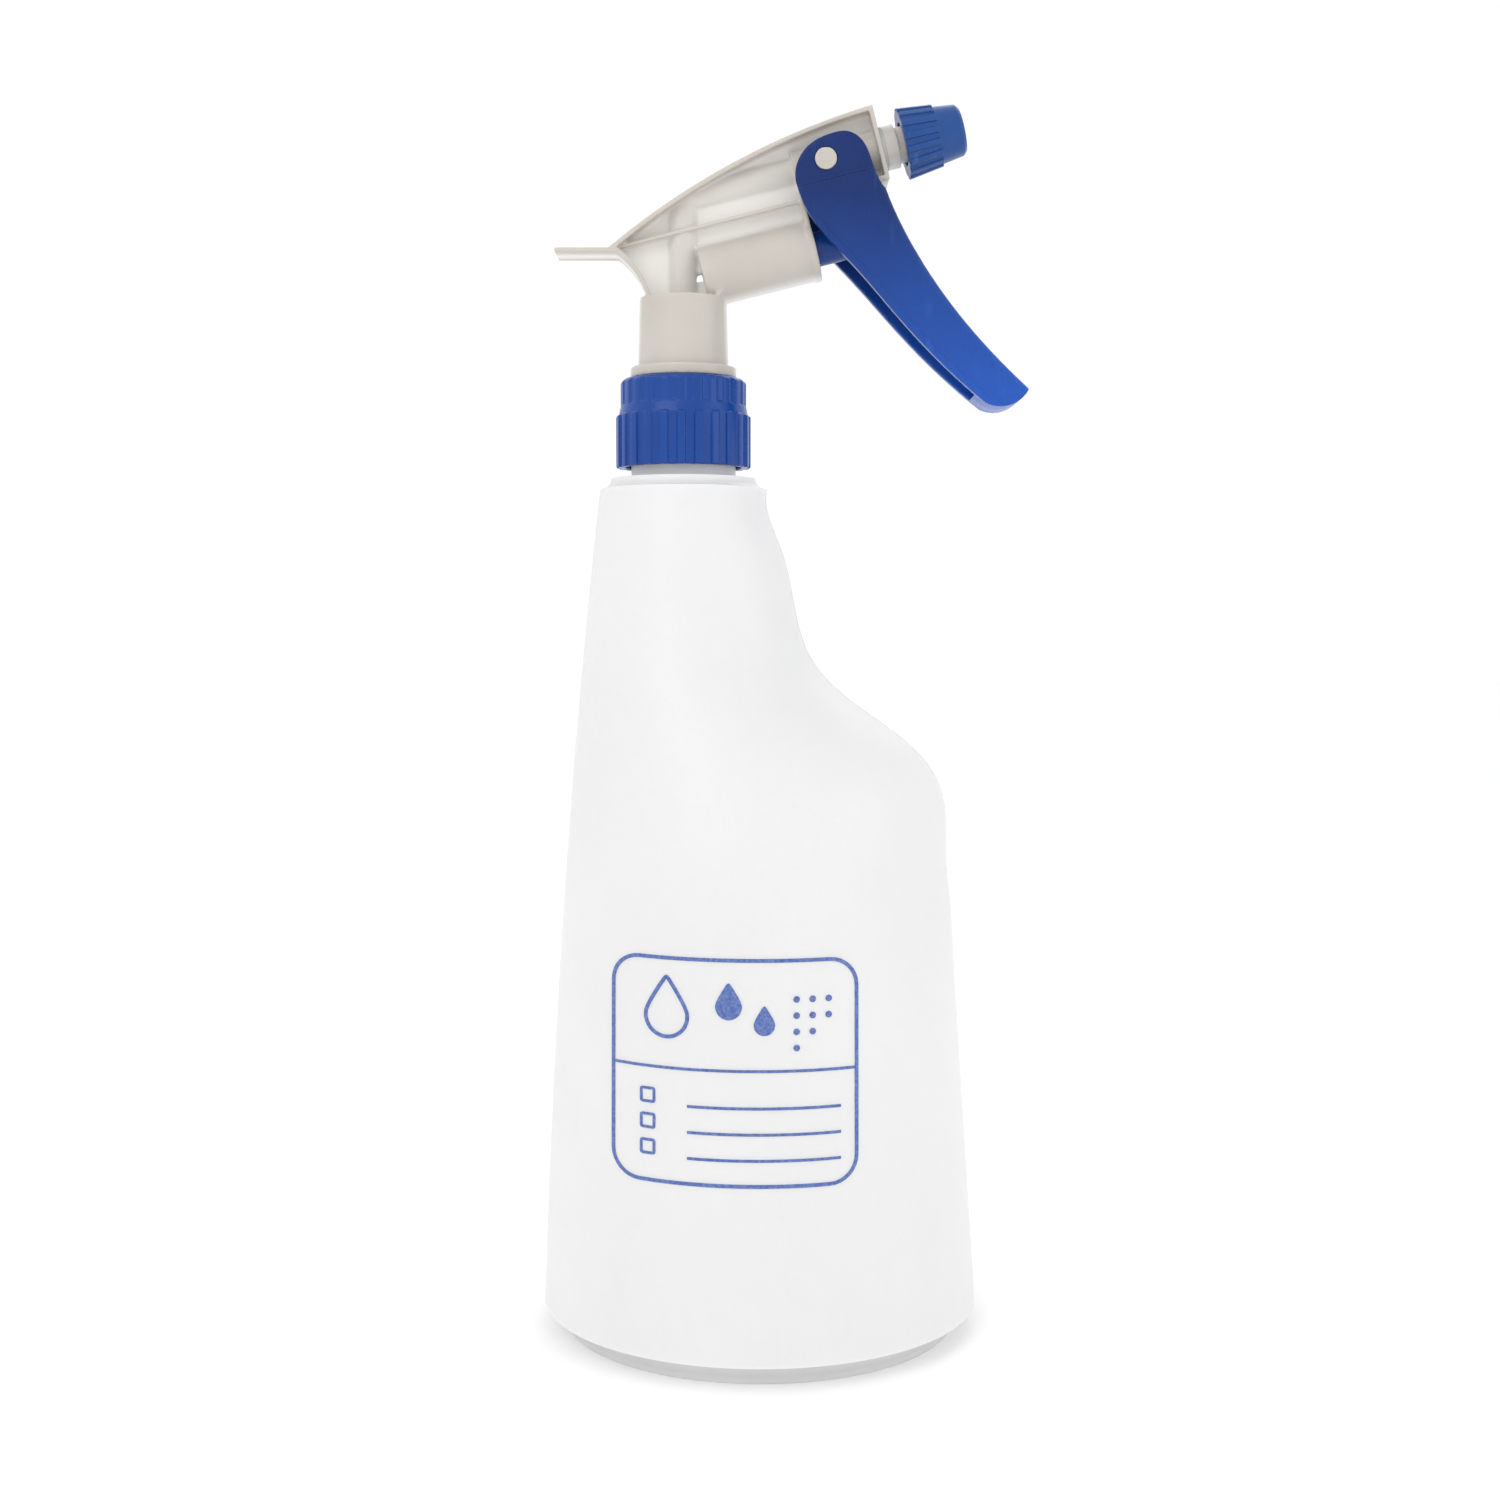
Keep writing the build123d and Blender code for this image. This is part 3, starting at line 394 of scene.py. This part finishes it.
headPlastic = makePlastic("headPlastic", {
    "colour": (0.50, 0.465, 0.42), "cloudColour": (0.56, 0.53, 0.49), "markColour": (0.44, 0.41, 0.38),
    # painted light on the thin web, painted shade on the thick walls
    "paintedWebLightColour": (0.78, 0.765, 0.74), "paintedWebLightSpan": (0.0012, 0.0042), "shine": 0.35, "marks": 0.15,
    "roughness": 0.36, "glossSpread": 0.06, "grainScale": 2200.0, "waveScale": 80.0, "waveShare": 0.5,
    "bumpStrength": 0.2, "bumpDepth": 0.00018, "translucence": 0.25, "scatter": (1.0, 0.85, 0.7),
})
clearPlastic = makePlastic("clearPlastic", {
    "colour": (0.74, 0.76, 0.76), "cloudColour": (0.80, 0.81, 0.80), "markColour": (0.6, 0.62, 0.62),
    "marks": 0.15, "roughness": 0.28, "glossSpread": 0.05, "grainScale": 2800.0, "waveScale": 120.0,
    "waveShare": 0.4, "bumpStrength": 0.15, "bumpDepth": 0.0001, "translucence": 0.2, "scatterDepth": 0.002,
})
sealGrey = makePlastic("sealGrey", {
    "colour": (0.42, 0.42, 0.41), "cloudColour": (0.48, 0.48, 0.47), "markColour": (0.6, 0.6, 0.6),
    "marks": 0.2, "roughness": 0.62, "glossSpread": 0.08, "grainScale": 3000.0, "waveScale": 120.0,
    "waveShare": 0.3, "bumpStrength": 0.3, "bumpDepth": 0.00012,
})
springSteel = makeSteel("springSteel", {
    "colour": (0.62, 0.61, 0.59), "stainColour": (0.5, 0.49, 0.47), "stainScale": 220.0,
    "stainSpan": (0.4, 0.7), "roughness": (0.18, 0.32), "lineScale": 900.0, "lineDetail": 3.0,
    "lineRoughness": 0.6, "lineSpan": (0.3, 0.7), "drawScale": (1.0, 1.0, 1.0), "bumpStrength": 0.15,
    "bumpDepth": 0.00003,
})
ballSteel = makeSteel("ballSteel", {
    "colour": (0.72, 0.72, 0.72), "stainColour": (0.62, 0.62, 0.63), "stainScale": 400.0,
    "stainSpan": (0.4, 0.7), "roughness": (0.08, 0.22), "lineScale": 1400.0, "lineDetail": 3.0,
    "lineRoughness": 0.6, "lineSpan": (0.3, 0.7), "drawScale": (1.0, 1.0, 0.4), "bumpStrength": 0.15,
    "bumpDepth": 0.00003,
})
printInk = makeInk("printInk", {
    "colour": (0.05, 0.10, 0.34), "thinColour": (0.15, 0.22, 0.46), "coverScale": 1400.0,
    "coverDetail": 4.0, "coverRoughness": 0.65, "coverSpan": (0.32, 0.62), "fineScale": 2600.0,
    "fineSpan": (0.3, 0.7), "roughness": (0.45, 0.6), "bumpStrength": 0.1, "bumpDepth": 0.00002,
})
print("materials made")


def finishPiece(piece, body, material, slotName, *replaced):
    piece.data.materials.clear()
    piece.data.materials.append(material)
    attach(piece, body)
    if replaced:
        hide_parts(*replaced)


# bottle: the frame's form with a smooth skin, and a mould's parting line up both sides and across the base

bottleValues = {
    "shadingAngle": 40,
    "seamRadius": 0.00022,
    "seamSides": 2,
    "seamShading": 50,
    "seamTop": 0.2035,       # the line ends under the screw cap
    "floorGap": 0.0012,      # no ridge where the bottle stands
}


def makeBottle(values):
    bottle = copyOfNode("bottle", "bottleShell")
    smoothShading(bottle, values["shadingAngle"])
    finishPiece(bottle, "bottle", bottlePlastic, "bottle_hdpe", "bottle")
    return bottle


def cutAway(piece, point, normal, inner, outer):  # with both sides cut away, only the cut's own line stays
    editAll(piece)
    bpy.ops.mesh.bisect(plane_co=point, plane_no=normal, clear_inner=inner, clear_outer=outer)
    leaveEdit()


def dropLowVertices(piece, level):
    editAll(piece)
    bpy.ops.mesh.select_all(action="DESELECT")
    leaveEdit()
    for vertex in piece.data.vertices:
        vertex.select = vertex.co.z < level
    bpy.ops.object.mode_set(mode="EDIT")
    bpy.ops.mesh.delete(type="VERT")
    leaveEdit()


def makePartingLine(values):
    line = copyOfNode("bottle", "bottlePartingLine")
    cutAway(line, (0, 0, 0), (0, 1, 0), inner=True, outer=True)
    cutAway(line, (0, 0, values["seamTop"]), (0, 0, 1), inner=False, outer=True)
    editAll(line)
    bpy.ops.mesh.separate(type="LOOSE")
    leaveEdit()
    strips = list(bpy.context.selected_objects)
    widest = max(strips, key=lambda strip: strip.dimensions.x)  # the outer face's line, not the inner one's
    for strip in strips:
        if strip != widest:
            bpy.data.objects.remove(strip)
    dropLowVertices(widest, values["floorGap"])
    makeActive(widest)
    bpy.ops.object.convert(target="CURVE")
    widest.data.bevel_depth = values["seamRadius"]
    widest.data.bevel_resolution = values["seamSides"]
    widest.data.use_fill_caps = True
    bpy.ops.object.convert(target="MESH")
    startPiece("bottlePartingLine")
    smoothShading(widest, values["seamShading"])
    finishPiece(widest, "bottle", bottlePlastic, "bottle_hdpe")


bottleShell = makeBottle(bottleValues)
makePartingLine(bottleValues)
print("bottle made")


# print on the bottle's front: a rounded panel with three drops, a few dots, and tick boxes with blank lines

printValues = {
    "middle": (-0.0060, 0.0710), "width": 0.056, "height": 0.051, "corner": 0.0065, "cornerSteps": 8,
    "line": 0.00085, "fineLine": 0.00065, "inkDepth": 0.00012, "inkProud": 0.00005,
    "stripWidth": 0.0018, "stripHeight": 0.004, "standOff": 0.01, "shadingAngle": 30,
    "dropAt": (-0.0152, 0.0122), "dropRadius": 0.0052, "dropSides": 36, "dropPinch": 0.55, "dropRise": 0.75,
    "smallDrops": ((-0.0012, 0.0148, 0.0030), (0.0068, 0.0108, 0.0024)),
    "dotsAt": (0.0140, 0.0128), "dotColumns": 3, "dotRows": 4, "dotPitch": 0.0036, "dotRadius": 0.00075,
    "dotSides": 16, "dividerLift": 0.0005,
    "ruleMiddle": 0.00675, "ruleLength": 0.0345, "ruleLevels": (-0.0060, -0.0118, -0.0176),
    "boxAt": -0.0195, "boxSide": 0.0036, "boxCorner": 0.0006, "boxCornerSteps": 2,
}


def flatPlane(name, x, z, width, height):  # stands upright, facing the front
    bpy.ops.mesh.primitive_plane_add(size=1, location=(x, 0, z), rotation=(pi / 2, 0, 0))
    piece = startPiece(name)
    piece.scale = (width, height, 1)
    applyPlace(piece)
    return piece


def flatDisc(name, x, z, radius, sides):
    bpy.ops.mesh.primitive_circle_add(vertices=sides, radius=radius, location=(x, 0, z),
                                      rotation=(pi / 2, 0, 0), fill_type="NGON")
    piece = startPiece(name)
    applyPlace(piece)
    return piece


def openMiddle(piece, thickness):  # insets the face and takes the middle out, which leaves an outline
    editAll(piece, "FACE")
    bpy.ops.mesh.inset(thickness=thickness, use_even_offset=True)
    bpy.ops.mesh.delete(type="FACE")
    leaveEdit()


def roundCorners(piece, radius, steps):
    editAll(piece)
    bpy.ops.mesh.bevel(affect="VERTICES", offset=radius, segments=steps)
    leaveEdit()


def flatDrop(values, x, z, radius):  # a disc whose upper half is drawn up to a point
    piece = flatDisc("drop", x, z, radius, values["dropSides"])
    for vertex in piece.data.vertices:
        rise = max(0.0, (vertex.co.z - z) / radius) ** 2
        vertex.co.x = x + (vertex.co.x - x) * (1 - values["dropPinch"] * rise)
        vertex.co.z += values["dropRise"] * radius * rise
    return piece


def makePrint(values, bottle):
    middleX, middleZ = values["middle"]
    panel = flatPlane("panel", middleX, middleZ, values["width"], values["height"])
    roundCorners(panel, values["corner"], values["cornerSteps"])
    openMiddle(panel, values["line"])
    art = [panel]
    dropX, dropZ = values["dropAt"]
    bigDrop = flatDrop(values, middleX + dropX, middleZ + dropZ, values["dropRadius"])
    openMiddle(bigDrop, values["line"])
    art.append(bigDrop)
    for x, z, radius in values["smallDrops"]:
        art.append(flatDrop(values, middleX + x, middleZ + z, radius))
    dotX, dotZ = values["dotsAt"]
    pitch = values["dotPitch"]
    for column in range(values["dotColumns"]):
        for row in range(values["dotRows"] - column):
            art.append(flatDisc("dot", middleX + dotX + pitch * column, middleZ + dotZ - pitch * (row - 1),
                                values["dotRadius"], values["dotSides"]))
    art.append(flatPlane("divider", middleX, middleZ + values["dividerLift"],
                         values["width"] - values["line"], values["fineLine"]))
    side = values["boxSide"]
    for level in values["ruleLevels"]:
        rule = flatPlane("rule", middleX + values["ruleMiddle"], middleZ + level - side / 2,
                         values["ruleLength"], values["fineLine"])
        box = flatPlane("box", middleX + values["boxAt"], middleZ + level, side, side)
        roundCorners(box, values["boxCorner"], values["boxCornerSteps"])
        openMiddle(box, values["fineLine"])
        art += [rule, box]
    whole = joinPieces(art, "bottlePrint")
    layOnBottle(whole, values, bottle)
    finishPiece(whole, "bottle", printInk, "blue_plastic")


def layOnBottle(art, values, bottle):  # cut into narrow strips, laid on the wall, then given the ink's depth
    middleX, middleZ = values["middle"]
    columns = int(values["width"] / values["stripWidth"])
    rows = int(values["height"] / values["stripHeight"])
    editAll(art)
    for step in range(1, columns):
        bpy.ops.mesh.select_all(action="SELECT")
        x = middleX + values["width"] * (step / columns - 0.5)
        bpy.ops.mesh.bisect(plane_co=(x, 0, 0), plane_no=(1, 0, 0))
    for step in range(1, rows):
        bpy.ops.mesh.select_all(action="SELECT")
        z = middleZ + values["height"] * (step / rows - 0.5)
        bpy.ops.mesh.bisect(plane_co=(0, 0, z), plane_no=(0, 0, 1))
    bpy.ops.mesh.select_all(action="SELECT")
    bpy.ops.transform.translate(value=(0, cadBox[0][1] - values["standOff"], 0))
    bpy.ops.mesh.normals_make_consistent(inside=False)
    leaveEdit()
    applyModifier(art, "SHRINKWRAP", target=bottle, wrap_method="PROJECT", use_project_y=True,
                  use_positive_direction=True, use_negative_direction=False, offset=0.0)
    applyModifier(art, "SOLIDIFY", thickness=values["inkDepth"] + values["inkProud"], offset=0.0)
    editAll(art)
    bpy.ops.mesh.normals_make_consistent(inside=False)
    leaveEdit()
    smoothShading(art, values["shadingAngle"])


makePrint(printValues, bottleShell)
print("print laid on the bottle")


# moulded pieces that show: the frame's form with the roundings a mould leaves

mouldedPieces = {
    "screw_cap": {"name": "screwCap", "material": capBlue, "slot": "blue_cap",
                  "voxel": 0.00022, "passes": 3, "triangles": 90000},
    "sprayer_body": {"name": "sprayerBody", "material": headPlastic, "slot": "cream_plastic",
                     "voxel": 0.00026, "passes": 3, "triangles": 150000},
    "trigger": {"name": "triggerLever", "material": triggerBlue, "slot": "blue_plastic",
                "voxel": 0.00024, "passes": 4, "triangles": 100000},
    "nozzle_cap": {"name": "nozzleCap", "material": nozzleBlue, "slot": "blue_cap",
                   "voxel": 0.00016, "passes": 3, "triangles": 90000},
    "piston": {"name": "pistonRod", "material": capBlue, "slot": "blue_plastic",
               "voxel": 0.00018, "passes": 3, "triangles": 60000},
    "piston_seal": {"name": "pistonSeal", "material": sealGrey, "slot": "soft_grey",
                    "voxel": 0.00018, "passes": 6, "triangles": 40000,
                    "shrink": 0.00006},  # its lips just clear the cylinder's rounded end
}
for nodeName, values in mouldedPieces.items():
    piece = copyOfNode(nodeName, values["name"])
    softenEdges(piece, values)
    if "shrink" in values:
        applyModifier(piece, "DISPLACE", strength=-values["shrink"], mid_level=0.0)
        smoothShading(piece)
    finishPiece(piece, bodyOf(nodeName), values["material"], values["slot"], nodeName)
    print(values["name"], "softened,", len(piece.data.polygons), "faces")


# inner pieces: the frame's form, merged and shaded smooth

innerPieces = {
    "neck_gasket": {"name": "neckGasket", "material": sealGrey, "slot": "soft_grey"},
    "closure_insert": {"name": "closureInsert", "material": clearPlastic, "slot": "natural_plastic"},
    "vent_flap": {"name": "ventFlap", "material": sealGrey, "slot": "soft_grey"},
    "inlet_ball": {"name": "inletBall", "material": ballSteel, "slot": "ball_steel"},
    "dip_tube": {"name": "dipTube", "material": clearPlastic, "slot": "tube_plastic"},
    "strainer": {"name": "inletStrainer", "material": clearPlastic, "slot": "natural_plastic"},
    "outlet_valve": {"name": "outletValve", "material": clearPlastic, "slot": "natural_plastic"},
    "base_gasket": {"name": "baseGasket", "material": sealGrey, "slot": "soft_grey"},
    "nozzle_base": {"name": "nozzleBase", "material": headPlastic, "slot": "natural_plastic"},
    "swirl_core": {"name": "swirlCore", "material": clearPlastic, "slot": "natural_plastic"},
    "nozzle_ring": {"name": "nozzleRing", "material": sealGrey, "slot": "soft_grey"},
    "orifice_disc": {"name": "orificeDisc", "material": headPlastic, "slot": "natural_plastic"},
}
for nodeName, values in innerPieces.items():
    piece = copyOfNode(nodeName, values["name"])
    smoothShading(piece)
    finishPiece(piece, bodyOf(nodeName), values["material"], values["slot"], nodeName)
print("inner pieces finished")


# springs: wire swept round a screw

springValues = {
    "pistonSpring": {"node": "piston_spring", "joint": "piston_slide", "coilRadius": 0.0027,
                     "wireRadius": 0.0004, "turns": 9, "travel": 0.00706},
    "outletSpring": {"node": "outlet_spring", "joint": "outlet_valve_open", "coilRadius": 0.0015,
                     "wireRadius": 0.0002, "turns": 5, "travel": 0.001},
}
wireSides = 10
stepsPerTurn = 28
springShading = 50


def springEnds(nodeName):  # where a spring's length along the spray starts, and that length
    corners = [vertex.co for vertex in nodes[nodeName].data.vertices]
    along = [corner.dot(sprayAxis) for corner in corners]
    middle = sum(corners, Vector()) / len(corners)
    start = middle + sprayAxis * (min(along) - middle.dot(sprayAxis))
    return start, max(along) - min(along)


def makeSpring(name, values):
    start, length = springEnds(values["node"])
    wire = values["wireRadius"]
    bpy.ops.mesh.primitive_circle_add(vertices=wireSides, radius=wire, location=(values["coilRadius"], 0, 0),
                                      rotation=(pi / 2, 0, 0), fill_type="NOTHING")
    spring = startPiece(name)
    applyPlace(spring)
    steps = values["turns"] * stepsPerTurn
    applyModifier(spring, "SCREW", axis="Z", angle=2 * pi * values["turns"], screw_offset=length - 2 * wire,
                  steps=steps, render_steps=steps, use_smooth_shade=True)
    editAll(spring)
    bpy.ops.mesh.fill_holes(sides=0)
    bpy.ops.mesh.select_all(action="SELECT")
    bpy.ops.mesh.normals_make_consistent(inside=False)
    leaveEdit()
    turn = Vector((0, 0, 1)).rotation_difference(sprayAxis).to_matrix().to_4x4()
    spring.matrix_world = Matrix.Translation(start + sprayAxis * wire) @ turn
    applyPlace(spring)
    smoothShading(spring, springShading)
    finishPiece(spring, "head", springSteel, "spring_steel", values["node"])
    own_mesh(spring)


for springName, values in springValues.items():
    makeSpring(springName, values)
print("springs wound")


# floor, lights and camera

floorValues = {
    "size": 12, "colour": (0.98, 0.98, 0.98), "cloudColour": (0.99, 0.99, 0.99), "cloudScale": 3.0,
    "cloudSpan": (0.3, 0.7), "roughness": 0.9, "shine": 0.1,
}


def makeFloor(values):
    bpy.ops.mesh.primitive_plane_add(size=values["size"], location=(0, 0, 0))
    floor = startPiece("floor")
    material, tree, shader, place = startMaterial("paleFloor")
    clouds = remap(tree, noise(tree, place, values["cloudScale"]), values["cloudSpan"])
    link(tree, mixColour(tree, clouds, values["colour"], values["cloudColour"]), shader.inputs["Base Color"])
    shader.inputs["Roughness"].default_value = values["roughness"]
    shader.inputs["Specular IOR Level"].default_value = values["shine"]
    floor.data.materials.append(material)


lightValues = {
    "keyLight": {"at": (-0.55, -0.85, 0.85), "aim": (0, 0, 0.16), "size": 0.7, "energy": 2.6},
    "fillLight": {"at": (0.95, -0.55, 0.45), "aim": (0, 0, 0.18), "size": 0.6, "energy": 1.2},
    "backLight": {"at": (0.2, 0.9, 0.9), "aim": (0, 0, 0.18), "size": 0.8, "energy": 1.6},
}
worldValues = {"colour": (1.0, 1.0, 1.0), "strength": 1.02}


def makeLights(lamps, surround):
    for name, light in lamps.items():
        place = Vector(light["at"])
        facing = (Vector(light["aim"]) - place).to_track_quat("-Z", "Y").to_euler()
        bpy.ops.object.light_add(type="AREA", location=place, rotation=facing)
        lamp = startPiece(name)
        lamp.data.size = light["size"]
        lamp.data.energy = light["energy"]
    world = bpy.data.worlds.new("paleStudio")
    world.use_nodes = True
    backdrop = world.node_tree.nodes["Background"].inputs
    backdrop["Color"].default_value = (*surround["colour"], 1.0)
    backdrop["Strength"].default_value = surround["strength"]
    bpy.context.scene.world = world


cameraValues = {"at": (-0.0024, -0.496, 0.1706), "tilt": 86.5, "lens": 48.8, "sensor": 36.0, "nearest": 0.01}


def makeCamera(values):
    bpy.ops.object.camera_add(location=values["at"], rotation=(radians(values["tilt"]), 0, 0))
    camera = startPiece("studioCamera")
    camera.data.lens = values["lens"]
    camera.data.sensor_width = values["sensor"]
    camera.data.clip_start = values["nearest"]
    bpy.context.scene.camera = camera


makeFloor(floorValues)
makeLights(lightValues, worldValues)
makeCamera(cameraValues)
bpy.context.scene.view_settings.view_transform = "Standard"
print("floor, lights and camera set")
